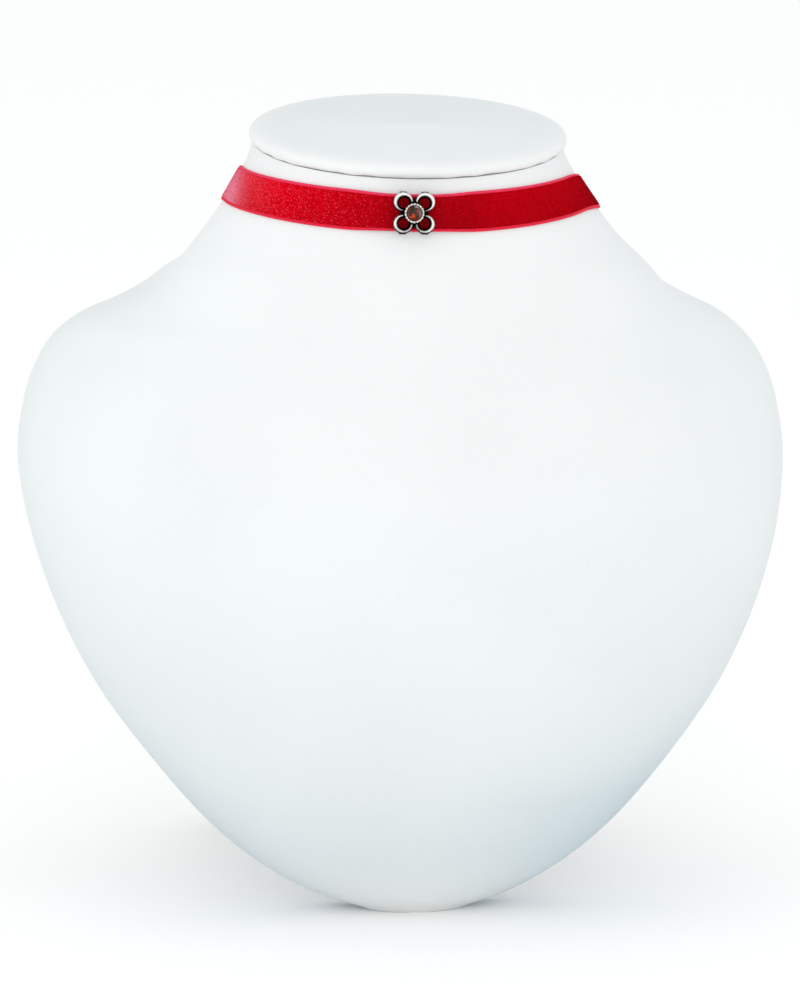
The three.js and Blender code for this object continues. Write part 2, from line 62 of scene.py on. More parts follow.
# %% [markdown]
# The camera stands a little above the bust and a little to the left of its middle, about 1.3 m away. A long
# lens keeps the shoulders from spreading. The camera is also turned by less than a degree about its own line
# of sight, as a hand-set tripod is.

# %% The camera
LENS = 150
DISTANCE = 1.295
AZIMUTH, ELEVATION, ROLL = (math.radians(a) for a in (-7.5, 12, 0.7))
target = Vector(to_metres([-1.6, 28, 121]))

camera = bpy.data.objects.new("camera", bpy.data.cameras.new("camera"))
scene.collection.objects.link(camera)
camera.data.lens = LENS
camera.data.sensor_width = 36
camera.data.clip_end = 50
away = Vector((math.sin(AZIMUTH), -math.cos(AZIMUTH), math.tan(ELEVATION))).normalized()
look = (-away).to_track_quat("-Z", "Y").to_matrix().to_4x4()
camera.matrix_world = Matrix.Translation(target + away * DISTANCE) @ look @ Matrix.Rotation(ROLL, 4, "Z")
scene.camera = camera
print("camera at", [round(v, 3) for v in camera.location])

# %% [markdown]
# Light. A white bust on white paper is shot in a light tent: most of the light comes from the tent's walls,
# the same from everywhere, and only a little from the lamps. So the world is white and bright, one softbox
# near the camera lifts the middle of the chest, and a weak one at each side rounds the shoulders off.

# %% Lights and room
LIGHTS_FACE = (0, 0, 0.15)
TENT_WHITE = (0.965, 0.985, 0.99, 1)
scene.view_settings.view_transform = "Standard"


def softbox(name, place, width, height, power):
    """An area light at a place in metres that faces the neck."""
    data = bpy.data.lights.new(name, "AREA")
    data.shape, data.size, data.size_y = "RECTANGLE", width, height
    data.energy = power
    light = bpy.data.objects.new(name, data)
    scene.collection.objects.link(light)
    light.location = place
    towards_neck = Vector(LIGHTS_FACE) - Vector(place)
    light.rotation_euler = towards_neck.to_track_quat("-Z", "Y").to_euler()


softbox("front softbox", (-0.35, -2.3, 0.9), 1.4, 1.4, 9)
softbox("left softbox", (-1.7, -0.3, 0.6), 0.6, 1.4, 2.8)
softbox("right softbox", (1.7, -0.6, 0.6), 0.6, 1.4, 1.6)

world = bpy.data.worlds.new("light tent")
world.use_nodes = True
scene.world = world
room = world.node_tree
room.nodes["Background"].inputs["Color"].default_value = TENT_WHITE
room.nodes["Background"].inputs["Strength"].default_value = 1.0
seen = room.nodes.new("ShaderNodeBackground")
seen.inputs["Color"].default_value = (1, 1, 1, 1)
path = room.nodes.new("ShaderNodeLightPath")
either = room.nodes.new("ShaderNodeMixShader")
room.links.new(path.outputs["Is Camera Ray"], either.inputs[0])
room.links.new(room.nodes["Background"].outputs[0], either.inputs[1])
room.links.new(seen.outputs[0], either.inputs[2])
room.links.new(either.outputs[0], room.nodes["World Output"].inputs["Surface"])

# %% [markdown]
# Helpers for materials. Every finish here is one Principled shader with a few textures in front of it. One
# helper makes the shader, another adds a texture node with its inputs set by name, and the rest are the few
# nodes that come up again and again.

# %% Material helpers


def finish(name, **settings):
    """A material whose Principled shader has the given inputs, named with _ for a space."""
    material = bpy.data.materials.new(name)
    material.use_nodes = True
    shader = material.node_tree.nodes["Principled BSDF"]
    for key, value in settings.items():
        shader.inputs[key.replace("_", " ")].default_value = value
    return material, material.node_tree, shader


def add(tree, kind, links=(), **settings):
    """A node with some inputs set, and some linked: links is [(output socket, input name)]."""
    made = tree.nodes.new(kind)
    for key, value in settings.items():
        if hasattr(made, key):
            setattr(made, key, value)
        else:
            made.inputs[key.replace("_", " ")].default_value = value
    for output, name in links:
        tree.links.new(output, made.inputs[name])
    return made


def colours(tree, factor, stops):
    """A colour ramp: stops is [(place, (r, g, b))]."""
    ramp = add(tree, "ShaderNodeValToRGB", [(factor, "Fac")])
    while len(ramp.color_ramp.elements) < len(stops):
        ramp.color_ramp.elements.new(0.5)
    for element, (place, colour) in zip(ramp.color_ramp.elements, stops):
        element.position = place
        element.color = (*colour, 1)
    return ramp.outputs["Color"]


def levels(tree, factor, stops):
    """A ramp in grey: stops is [(place, value)]."""
    return colours(tree, factor, [(place, (value,) * 3) for place, value in stops])


def bump(tree, shader, height, strength, distance):
    """Height in the texture becomes relief; distance is in metres."""
    relief = add(tree, "ShaderNodeBump", [(height, "Height")], Strength=strength, Distance=distance)
    tree.links.new(relief.outputs["Normal"], shader.inputs["Normal"])


def object_place(tree):
    return add(tree, "ShaderNodeTexCoord").outputs["Object"]


def maths(tree, operation, first, second):
    """A Math node. Each of the two values is a number or an output socket."""
    made = add(tree, "ShaderNodeMath", operation=operation)
    for index, value in enumerate((first, second)):
        if isinstance(value, (int, float)):
            made.inputs[index].default_value = value
        else:
            tree.links.new(value, made.inputs[index])
    return made.outputs[0]


def blend(tree, kind, amount, under, over):
    """One colour laid over another by an amount, each of them a number, a colour or an output socket."""
    made = add(tree, "ShaderNodeMix", data_type="RGBA", blend_type=kind)
    for index, value in ((0, amount), (6, under), (7, over)):
        if isinstance(value, bpy.types.NodeSocket):
            tree.links.new(value, made.inputs[index])
        else:
            made.inputs[index].default_value = value if index == 0 else (*value, 1)
    return made.outputs[2]


# %% [markdown]
# Leatherette is a vinyl skin over foam. Close up it has a grain of shallow pebbles about half a millimetre
# across, and from afar only a soft, uneven gloss. A Voronoi texture makes the pebbles and a slow noise makes
# the unevenness. A value that the bust and the cap give each of their points greys it towards blue: on the
# bust this is painted shade towards its back, and on the cap's top it is dust.

# %% White leatherette
SHADE_AND_DUST_BLUE = (0.47, 0.62, 0.71)


def leatherette(name, white, roughness):
    material, tree, shader = finish(
        name, Roughness=roughness, Specular_IOR_Level=0.35, Coat_Weight=0.05, Coat_Roughness=0.4
    )
    place = object_place(tree)
    slow = add(tree, "ShaderNodeTexNoise", [(place, "Vector")], Scale=16, Detail=2)
    grey = tuple(0.97 * v for v in white)
    tone = colours(tree, slow.outputs["Fac"], [(0.35, grey), (0.65, white)])
    # the bust's painted shade and the cap's dust, read from each point, grey the colour towards blue
    shade_and_dust = add(tree, "ShaderNodeAttribute", attribute_name="shade_and_dust").outputs["Fac"]
    shade_and_dust_tone = blend(tree, "MULTIPLY", shade_and_dust, tone, SHADE_AND_DUST_BLUE)
    tree.links.new(shade_and_dust_tone, shader.inputs["Base Color"])
    pebbles = add(tree, "ShaderNodeTexVoronoi", [(place, "Vector")], Scale=1500, Randomness=0.9)
    fine = add(tree, "ShaderNodeTexNoise", [(place, "Vector")], Scale=500, Detail=4)
    grain = maths(tree, "ADD", pebbles.outputs["Distance"], fine.outputs["Fac"])
    bump(tree, shader, grain, 0.25, 0.00012)
    return material


white_skin = leatherette("white leatherette", (0.79, 0.805, 0.8), 0.48)
board_skin = leatherette("board covering", (0.78, 0.8, 0.8), 0.6)

# %% [markdown]
# The bust's form. A maker of such busts thinks in level sections: at each height, how wide, how deep, how
# square. The two tables below are that list, in shares of the bust's own sizes, and a smooth curve runs
# through them. The same curve then carries the ribbon, so the ribbon always fits the neck. Real shoulders
# aren't quite even, so the last column moves a section to the right, in millimetres.

# %% The bust's sizes and sections
BUST_WIDTH = 239
SHOULDER_HEIGHT = 190
CHEST_DEPTH = 84
RIM_THICKNESS = 7
BACK_LEAN = math.radians(18)
NECK_WIDTH = 94
NECK_DEPTH = 80
NECK_RISE = 44
NECK_AXIS = 23
NECK_LEAN = 5
NECK_SWAY = -1.9
TOP_TILT = math.radians(8.8)
BACK_POWER = 5
BACK_OVERRUN = 6
SEAT_GAP = 0.3

# height, half width, front, widest line from the rim (0) to the neck's axis (1), power, aside
CHEST_ROWS = [
    (-0.03, 0.05, 0.09, 0, 2, 0),
    (0, 0.125, 0.15, 0, 2, 0),
    (0.03, 0.262, 0.24, 0, 2, 0),
    (0.08, 0.406, 0.37, 0, 2, 0),
    (0.15, 0.54, 0.52, 0, 2.1, 0),
    (0.25, 0.68, 0.69, 0, 2.2, 0),
    (0.36, 0.81, 0.82, 0, 2.25, 0),
    (0.48, 0.909, 0.91, 0, 2.3, 0),
    (0.6, 0.973, 0.965, 0, 2.3, 0),
    (0.71, 1, 1, 0, 2.2, 0),
    (0.8, 0.984, 1.02, 0.05, 2.1, 0.4),
    (0.86, 0.9495, 1.03, 0.15, 2, 0.5),
    (0.9, 0.906, 1.035, 0.25, 1.9, 0.3),
    (0.934, 0.8415, 1.04, 0.55, 1.8, 0.25),
    (0.9626, 0.747, 1.045, 0.8, 1.8, 0.8),
    (0.9928, 0.665, 1.055, 0.95, 1.9, 0.9),
]
# rise, half width, depth, lean, tilt, aside
NECK_ROWS = [
    (0.16, 1.532, 1.225, 0, 0.05, 0.4),
    (0.35, 1.3615, 1.19, 0.1, 0.2, -0.2),
    (0.6, 1.19, 1.133, 0.4, 0.5, 0),
    (0.85, 1.05, 1.06, 0.8, 0.85, 0),
    (1, 1, 1, 1, 1, 0),
]


def back_at(z):
    return z * math.tan(BACK_LEAN)


def chest_section(height, half, front, side, power, aside):
    z = height * SHOULDER_HEIGHT
    y = (back_at(z) - RIM_THICKNESS) * (1 - side) + NECK_AXIS * side
    reach = y - back_at(z) + front * CHEST_DEPTH
    behind = back_at(z) - y + BACK_OVERRUN
    return [aside, y, z, half * BUST_WIDTH / 2, reach, behind, power, BACK_POWER, 0]


def neck_section(rise, half, deep, lean, tilt, aside):
    reach = deep * NECK_DEPTH / 2
    z = SHOULDER_HEIGHT + rise * NECK_RISE
    y = NECK_AXIS - lean * NECK_LEAN
    return [lean * NECK_SWAY + aside, y, z, half * NECK_WIDTH / 2, reach, reach, 2, 2, tilt * TOP_TILT]


SECTIONS = np.array([chest_section(*r) for r in CHEST_ROWS] + [neck_section(*r) for r in NECK_ROWS])
TOP_ROW = len(SECTIONS) - 1
NECK_FOOT_ROW = len(CHEST_ROWS) - 1
print(len(SECTIONS), "sections")


def section_at(t):
    """The section at row number t, on a smooth curve through the rows."""
    t = np.asarray(t, float)
    i = np.clip(np.floor(t).astype(int), 0, TOP_ROW - 1)
    f = (t - i)[..., None]
    a, b, c, d = (SECTIONS[np.clip(i + k, 0, TOP_ROW)] for k in (-1, 0, 1, 2))
    into, out = (c - a) / 2, (d - b) / 2
    bend = 3 * (c - b) - 2 * into - out
    twist = into + out - 2 * (c - b)
    return b + f * (into + f * (bend + f * twist))


def signed_power(value, power):
    return np.sign(value) * np.abs(value) ** power


def bust_point(t, turn):
    """Points of the bust's skin in mm: row number t, and turn from the front (0) towards +X."""
    t, turn = np.broadcast_arrays(np.asarray(t, float), np.asarray(turn, float))
    x, y, z, half, front, back, power, back_power, tilt = np.moveaxis(section_at(t), -1, 0)
    forward = np.cos(turn)
    p = np.where(forward >= 0, power, back_power)
    reach = np.where(forward >= 0, front, back) * signed_power(forward, 2 / p)
    side = x + half * signed_power(np.sin(turn), 2 / p)
    return np.stack([side, y - reach * np.cos(tilt), z - reach * np.sin(tilt)], -1)


# %% [markdown]
# From points to a mesh. Almost every piece here is a loft: rings of points, each joined to the next. One
# helper turns such rings into a closed mesh, with its ends filled or joined to each other.

# %% Loft helpers


def new_piece(name, points_mm, faces, materials, sharp):
    """A mesh object on the root body, from points in mm; edges over sharp degrees stay sharp."""
    mesh = bpy.data.meshes.new(name)
    mesh.from_pydata(to_metres(points_mm).tolist(), [], faces)
    for material in materials:
        mesh.materials.append(material)
    mesh.polygons.foreach_set("use_smooth", [True] * len(mesh.polygons))
    mesh.update()
    mesh.set_sharp_from_angle(angle=math.radians(sharp))
    piece = bpy.data.objects.new(name, mesh)
    scene.collection.objects.link(piece)
    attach(piece, "root")
    return piece


def loft_faces(rings, sides, closed=False, start=0):
    """Faces for rings stored one after the other, each turning anticlockwise round the way they go."""
    faces = []
    for i in range(rings if closed else rings - 1):
        here, there = start + i * sides, start + ((i + 1) % rings) * sides
        for k in range(sides):
            n = (k + 1) % sides
            faces.append((here + k, here + n, there + n, there + k))
    if not closed:
        faces.append(tuple(start + k for k in reversed(range(sides))))
        faces.append(tuple(start + (rings - 1) * sides + k for k in range(sides)))
    return faces


def turns(count):
    """Angles all round, evenly spaced."""
    return np.arange(count) / count * 2 * np.pi


def give(piece, name, values):
    """Gives each point of a piece a value that its material reads by name."""
    attribute = piece.data.attributes.new(name, "FLOAT", "POINT")
    attribute.data.foreach_set("value", np.asarray(values, float).ravel())


# %% [markdown]
# The bust itself. The CAD form is cut flat at the back, with a sharp rim. Leatherette can't follow a sharp
# rim: it wraps round it in a soft corner. So here each point is pressed against the back's plane by a rule
# that leaves points far from it alone and slows down those that come near. Painted shade greys the covering
# towards the back, most of all low down near the rim and at the lower right, and none at the foot, which
# the paper lights from below.

# %% The bust
BUST_RINGS, BUST_SIDES = 200, 240
RIM_SOFTNESS = 0.6
BACK_SHADE = 0.15
# heights in mm between which the painted shade grows downwards, and under which the foot stays white
SHADE_STARTS, SHADE_IS_FULL, LIT_FOOT = 150, 40, 30
# shares of the painted shade: everywhere, low down, near the rim, at its roll, at the lower right, at the
# foot
SHADE_ALL, SHADE_LOW, SHADE_NEAR, SHADE_ROLL, SHADE_RIGHT, FOOT_LIGHT = 0.15, 0.29, 0.5, 0.45, 0.34, 0.65
SHADE_MOST = 0.9


def soft_cut(before_plane):
    """Distances before the flat back: far ones stay, near ones and those beyond it come to lie on it."""
    return RIM_SOFTNESS * np.logaddexp(0, before_plane / RIM_SOFTNESS)


# row 0 lies under the floor and only steers the curve
rows = np.linspace(1, TOP_ROW, BUST_RINGS)
skin = bust_point(rows[:, None], turns(BUST_SIDES)[None, :])
plane = back_at(skin[..., 2])
skin[..., 1] = plane - soft_cut(plane - skin[..., 1])
bust = new_piece(
    "bust_form",
    skin.reshape(-1, 3),
    loft_faces(BUST_RINGS, BUST_SIDES),
    [white_skin],
    sharp=50,
)
before_back = (plane - skin[..., 1]) * math.cos(BACK_LEAN)
lowness = np.clip((SHADE_STARTS - skin[..., 2]) / (SHADE_STARTS - SHADE_IS_FULL), 0, 1)


def fading(start, reach):
    """1 up to a distance before the back, in mm, and fading away in front of it."""
    return np.exp(-np.maximum(before_back - start, 0) / reach)


# painted shade towards the back, taken off again at the foot as painted light from the paper
painted_shade = (SHADE_ALL + SHADE_LOW * lowness) * fading(5, 50 + 9 * lowness)
painted_shade += SHADE_NEAR * lowness**4 * fading(6, 10)
painted_shade += SHADE_RIGHT * lowness**8 * np.clip(skin[..., 0] / 80, 0, 1)
painted_shade += SHADE_ROLL * lowness**4 * fading(4, 2.5)
painted_shade -= FOOT_LIGHT * np.clip(1 - skin[..., 2] / LIT_FOOT, 0, 1) ** 2
painted_shade = BACK_SHADE + (painted_shade - BACK_SHADE) * np.clip(before_back / 3, 0, 1)
give(bust, "shade_and_dust", np.clip(painted_shade, 0, SHADE_MOST))
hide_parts("bust_body")
print("bust:", len(bust.data.polygons), "faces")

# %% [markdown]
# The cap closes the cut neck. It is a padded oval: the top swells a little towards its middle and rolls
# over a wide, soft edge. Where the covering is drawn under and glued, it puckers, so the lower edge runs in
# small, uneven waves. The profile gives, from the lower edge to the middle, how far in and how high each
# ring lies.
# The flat top greys a little with dust, more so towards the back.

# %% The neck cap
CAP_THICKNESS = 4.5
CAP_OVERHANG = 1.2
CAP_GAP = 0.15
PUCKER = 0.22
PUCKER_GAIN = 1.8
CAP_SIDES = 240
DUST_REACH = 6
DUST_FRONT, DUST_TO_BACK = 0.06, 0.12
# in from the widest line (mm), height (share of the thickness), how much of the pucker it takes
CAP_ROLL = [
    (3.2, 0.0, 0), (1.5, 0.0, 0.5), (0.75, 0.05, 1), (0.35, 0.14, 0.8), (0.1, 0.27, 0.4),
    (0, 0.42, 0.1), (0.1, 0.57, 0), (0.4, 0.72, 0), (0.95, 0.85, 0), (1.8, 0.94, 0),
    (3.0, 1.0, 0), (4.8, 1.05, 0), (7.5, 1.09, 0), (12, 1.14, 0), (18, 1.18, 0),
    (25, 1.2, 0), (32, 1.21, 0), (38, 1.215, 0),
]

WIDEST_RING = [inset for inset, *_ in CAP_ROLL].index(0)

top_x, top_y, top_z, top_half, top_front, *_, top_tilt = SECTIONS[-1]
waves = np.random.default_rng(5)
PUCKER_WAVES = [(n, waves.uniform(0, 6.28), waves.uniform(0.3, 1)) for n in (7, 11, 16, 23, 31, 40)]


def pucker(turn):
    """The uneven waves of the glued edge, about -1 to 1."""
    total = sum(weight * np.sin(n * turn + shift) for n, shift, weight in PUCKER_WAVES)
    return total / sum(weight for *_, weight in PUCKER_WAVES) * PUCKER_GAIN


def cap_ring(inset, share, puckered):
    """An oval ring at a distance in from the cap's widest line, and at a height over the cut."""
    turn = turns(CAP_SIDES)
    grow = CAP_OVERHANG - inset
    reach = (top_front + grow) * np.cos(turn)
    rise = CAP_GAP + CAP_THICKNESS * share + PUCKER * puckered * (pucker(turn) + 1)
    return np.stack(
        [
            top_x + (top_half + grow) * np.sin(turn),
            top_y - reach * math.cos(top_tilt) - rise * math.sin(top_tilt),
            top_z - reach * math.sin(top_tilt) + rise * math.cos(top_tilt),
        ],
        -1,
    )


cap_rings = np.array([cap_ring(*row) for row in CAP_ROLL])
cap = new_piece(
    "padded_cap",
    cap_rings.reshape(-1, 3),
    loft_faces(len(cap_rings), CAP_SIDES),
    [white_skin],
    sharp=80,
)
towards_back = (1 - np.cos(turns(CAP_SIDES))) / 2
on_top = np.clip(np.array([inset for inset, *_ in CAP_ROLL]) / DUST_REACH, 0, 1)
on_top[: WIDEST_RING + 1] = 0
give(cap, "shade_and_dust", on_top[:, None] * (DUST_FRONT + DUST_TO_BACK * towards_back))
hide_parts("neck_cap")
print("cap:", len(cap.data.polygons), "faces")

# %% [markdown]
# The strut is a stiff board folded once: a tab glued to the back, and a leg that spreads to the counter. It
# is hidden from the front, so it stays plain: a loft through three stations of four corners each, at the
# foot, the fold and the top of the tab, with a Bevel for the edges.

# %% The easel strut
STRUT_THICKNESS = 3
STRUT_TAB_LENGTH = 26
STRUT_TAB_WIDTH = 56
STRUT_FOOT_WIDTH = 104
STRUT_BEND_DROP = 52
STRUT_SPREAD = 52
STRUT_EDGE = 0.6

along_back = np.array([math.sin(BACK_LEAN), math.cos(BACK_LEAN)])
out_of_back = np.array([math.cos(BACK_LEAN), -math.sin(BACK_LEAN)])
fold_height = SHOULDER_HEIGHT - STRUT_BEND_DROP
fold = np.array([back_at(fold_height), fold_height]) + SEAT_GAP * out_of_back
tab_top = fold + STRUT_TAB_LENGTH * along_back
foot = np.array([fold[0] + STRUT_SPREAD, 0])
leg = foot - fold
foot_depth = STRUT_THICKNESS * np.linalg.norm(leg) / abs(leg[1])
stations = [
    (foot, foot + [foot_depth, 0], STRUT_FOOT_WIDTH),
    (fold, fold + STRUT_THICKNESS * out_of_back, STRUT_TAB_WIDTH),
    (tab_top, tab_top + STRUT_THICKNESS * out_of_back, STRUT_TAB_WIDTH),
]
strut_points = []
for inner, outer, width in stations:
    for x, (y, z) in ((-1, inner), (1, inner), (1, outer), (-1, outer)):
        strut_points.append([x * width / 2, y, z])
strut = new_piece("folded_strut", strut_points, loft_faces(len(stations), 4), [board_skin], sharp=30)
soften = strut.modifiers.new("soft edges", "BEVEL")
soften.width, soften.segments, soften.limit_method = STRUT_EDGE / 1000, 3, "ANGLE"
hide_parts("easel_strut")

# %% [markdown]
# The ribbon's path. The ribbon lies round the neck a little lower at the front and at the back than at the
# sides, because a straight ribbon on a neck that widens downwards always runs down towards its ends. At each
# turn the height is known, so halving the interval finds the row of the skin that has that height.

# %% The ribbon's path
RIBBON_WIDTH = 12
RIBBON_THICKNESS = 1.5
SELVEDGE_WIDTH = 0.9
GROUND_THICKNESS = 0.8
RIBBON_RISE = 30.6
RIBBON_DIP_FRONT = 2.4
RIBBON_DIP_BACK = 9
FRONT_DIP_POWER = 2
BACK_DIP_POWER = 1.5
BACK_DIP_START = 0.2
BACK_DIP_TURN = math.radians(12)
RIBBON_SKEW = 0.3
RIBBON_PINCH = 0.5
RIBBON_GAP = 0.15
RIBBON_SPREAD = 1.13
SLIDER_CLEARANCE = 0.4
LOOP_THICKNESS = 0.45
CLASP_WALL = 0.9
CLASP_CLEARANCE = 0.35
CLASP_LENGTH = 24
CLASP_BRIDGE = 8
FLOWER_TURN = math.radians(-4.7)
PETAL_RADIUS = 2.88
PETAL_OFFSET = 3.25
HALVINGS = 40
STAND_OFF_EASE = 2.2
MEASURING_STEPS = 600

neck_radius = RIBBON_SPREAD * (NECK_WIDTH + NECK_DEPTH) / 4


def neck_row_at(turn):
    """The row of the skin at which the ribbon's middle lies, at each turn."""
    front_dip = RIBBON_DIP_FRONT * np.maximum(np.cos(turn), 0) ** FRONT_DIP_POWER
    behind = np.maximum(BACK_DIP_START - np.cos(turn + BACK_DIP_TURN), 0)
    back_dip = RIBBON_DIP_BACK * behind**BACK_DIP_POWER
    height = SHOULDER_HEIGHT + RIBBON_RISE - front_dip - back_dip - RIBBON_SKEW * np.sin(turn)
    low, high = np.full(turn.shape, float(NECK_FOOT_ROW)), np.full(turn.shape, float(TOP_ROW))
    for _ in range(HALVINGS):
        middle = (low + high) / 2
        below = bust_point(middle, turn)[..., 2] < height
        low, high = np.where(below, middle, low), np.where(below, high, middle)
    return (low + high) / 2


def unit(v):
    return v / np.linalg.norm(v, axis=-1, keepdims=True)


def ribbon_axes(turn):
    """Centre of the ribbon on the neck, and its axes: along, across (upwards) and out of the neck."""
    step = 0.01
    row = neck_row_at(turn)
    centre = bust_point(row, turn)
    ahead = bust_point(neck_row_at(turn + step), turn + step)
    behind = bust_point(neck_row_at(turn - step), turn - step)
    along = unit(ahead - behind)
    upwards = bust_point(row + step, turn) - bust_point(row - step, turn)
    out = unit(np.cross(along, upwards))
    return centre, along, unit(np.cross(out, along)), out


def ramp_up(turn, at, reach):
    """1 within reach of a turn, easing to 0 away from it."""
    away = np.abs((turn - at + np.pi) % (2 * np.pi) - np.pi)
    f = np.clip((away - reach) / (STAND_OFF_EASE * reach), 0, 1)
    return 1 - f * f * (3 - 2 * f)


SLIDER_REACH = (PETAL_OFFSET + PETAL_RADIUS) / neck_radius
CLASP_REACH = CLASP_LENGTH / 2 / neck_radius
SLIDER_STAND = SEAT_GAP + LOOP_THICKNESS + SLIDER_CLEARANCE
CLASP_STAND = SEAT_GAP + CLASP_WALL + CLASP_CLEARANCE


def stand_off(turn):
    """How far the ribbon's back stands off the neck: more under the flower and in the clasp."""
    slider = max(SLIDER_STAND - RIBBON_GAP, 0) * ramp_up(turn, FLOWER_TURN, SLIDER_REACH)
    clasp = max(CLASP_STAND - RIBBON_GAP, 0) * ramp_up(turn, np.pi, CLASP_REACH)
    return RIBBON_GAP + slider + clasp


def narrowing(turn):
    """The share of its width that the ribbon keeps: the flower's loops pinch it."""
    return 1 - RIBBON_PINCH / (RIBBON_WIDTH / 2) * ramp_up(turn, FLOWER_TURN, SLIDER_REACH)


def back_turn(distance):
    """The turn at a distance along the ribbon from the middle of the back."""
    return np.pi - distance / neck_radius


def band_rings(from_turn, to_turn, steps, outline):
    """Rings of points in mm that follow the ribbon; outline is [(across, out)] in mm."""
    turn = np.linspace(from_turn, to_turn, steps)
    centre, _, across, out = ribbon_axes(turn)
    outline = np.asarray(outline, float)
    side = outline[None, :, 0] * narrowing(turn)[:, None]
    proud = outline[None, :, 1] + stand_off(turn)[:, None]
    return centre[:, None] + side[..., None] * across[:, None] + proud[..., None] * out[:, None]


RIBBON_END = back_turn(CLASP_BRIDGE / 2 + CLASP_CLEARANCE)
middle_line = band_rings(-RIBBON_END, RIBBON_END, MEASURING_STEPS, [(0, GROUND_THICKNESS / 2)])[:, 0]
RIBBON_LENGTH = float(np.linalg.norm(np.diff(middle_line, axis=0), axis=1).sum())
print("ribbon: %.0f mm long, %.0f mm wide" % (RIBBON_LENGTH, RIBBON_WIDTH))

# %% [markdown]
# Velvet. Its pile stands on a woven ground, with a bare woven selvedge along each edge that takes the dye
# lighter. Light and shade are painted into the velvet's colour: it is painted brighter towards the left and
# darker from the flower on, with a painted shadow round the flower, and at the far left a painted pink sheen
# on the tips. The table below gives that painted brightness by the place across the neck, in millimetres
# from the middle.

# %% Velvet finishes
PAINTED_BRIGHTNESS = [
    (-56, 1.5), (-44, 1.5), (-31, 1.3), (-23, 1.16), (-15, 1.02),
    (-11.5, 0.85), (-9.5, 0.6), (-2.5, 0.6), (-0.5, 0.85), (10, 0.92),
    (20, 1.08), (42, 1.05), (54, 0.88),
]
ACROSS_REACH = 60
# heights in metres between which painted light brightens the velvet upwards
TOP_LIGHT_LOW, TOP_LIGHT_HIGH = 0.211, 0.227
PAINTED_PINK_SHEEN, PAINTED_RED_GLINT = (0.9, 0.45, 0.6), (0.9, 0.1, 0.18)


def across_neck(tree, place):
    """The place across the neck, as 0 at the far left to 1 at the far right."""
    x = add(tree, "ShaderNodeSeparateXYZ", [(place, "Vector")]).outputs["X"]
    reach = ACROSS_REACH / 1000
    share = add(tree, "ShaderNodeMapRange", [(x, "Value")], From_Min=-reach, From_Max=reach)
    return share.outputs["Result"]


def painted_light_ramp(tree, share):
    """The painted light and shade along the ribbon, times 0.5 so that the ramp stays under 1."""
    return levels(tree, share, [((mm / ACROSS_REACH + 1) / 2, 0.5 * value) for mm, value in PAINTED_BRIGHTNESS])


def velvet(name, dark, bright):
    """Velvet between two reds, with painted light and shade along it, a painted pink sheen at the far left
    and painted glints.
    """
    material, tree, shader = finish(
        name, Roughness=1, Specular_IOR_Level=0.02, Sheen_Weight=0.12, Sheen_Roughness=0.4
    )
    shader.inputs["Sheen Tint"].default_value = (1, 0.03, 0.06, 1)
    place = object_place(tree)
    share = across_neck(tree, place)
    fine = add(tree, "ShaderNodeTexNoise", [(place, "Vector")], Scale=2200, Detail=2).outputs["Fac"]
    upright = add(tree, "ShaderNodeMapping", [(place, "Vector")])
    upright.inputs["Scale"].default_value = (900, 900, 90)
    strokes = add(tree, "ShaderNodeTexNoise", [(upright.outputs[0], "Vector")], Scale=1, Detail=2)
    mixed = maths(tree, "ADD", fine, strokes.outputs["Fac"])
    tone = colours(tree, mixed, [(0.8, dark), (1.05, bright)])
    height = add(tree, "ShaderNodeSeparateXYZ", [(place, "Vector")]).outputs["Z"]
    rise = add(tree, "ShaderNodeMapRange", [(height, "Value")], From_Min=TOP_LIGHT_LOW, From_Max=TOP_LIGHT_HIGH)
    up = rise.outputs["Result"]
    # painted light: the velvet is painted brighter upwards
    painted_top_light = levels(tree, up, [(0.05, 0.8), (0.85, 1)])
    # painted light and shade along the ribbon, with a painted shadow round the flower
    painted_along = blend(tree, "MULTIPLY", 1.0, tone, painted_light_ramp(tree, share))
    lit = blend(tree, "MULTIPLY", 1.0, painted_along, painted_top_light)

    # painted sheen: at the far left, most of all at the upper edge, the tips are painted pink
    slant = maths(tree, "SUBTRACT", share, maths(tree, "MULTIPLY", up, 0.03))
    left_fades = [(0.02, 1), (0.035, 0.42), (0.045, 0.17), (0.06, 0.07), (0.09, 0.02), (0.13, 0)]
    left = levels(tree, slant, left_fades)
    upper = levels(tree, up, [(0.1, 0.6), (0.9, 1)])
    speckle = levels(tree, fine, [(0.38, 0.35), (0.56, 1)])
    painted_sheen = maths(tree, "MULTIPLY", maths(tree, "MULTIPLY", left, upper), speckle)
    sheened = blend(tree, "MIX", painted_sheen, lit, PAINTED_PINK_SHEEN)

    # and painted glints on single tips, as far as the flower
    crowding = levels(tree, share, [(0.08, 0.08), (0.2, 0.05), (0.4, 0)])
    painted_glints = levels(tree, maths(tree, "ADD", fine, crowding), [(0.64, 0), (0.7, 0.5)])
    facing_light = levels(tree, share, [(0.35, 1), (0.6, 0.12)])
    glinted = blend(tree, "MIX", maths(tree, "MULTIPLY", painted_glints, facing_light), sheened, PAINTED_RED_GLINT)
    tree.links.new(glinted, shader.inputs["Base Color"])
    return material


velvet_ground = velvet("velvet ground", (0.82, 0.0, 0.008), (0.97, 0.001, 0.012))
velvet_pile = velvet("velvet pile", (0.95, 0.0, 0.009), (1.0, 0.001, 0.014))


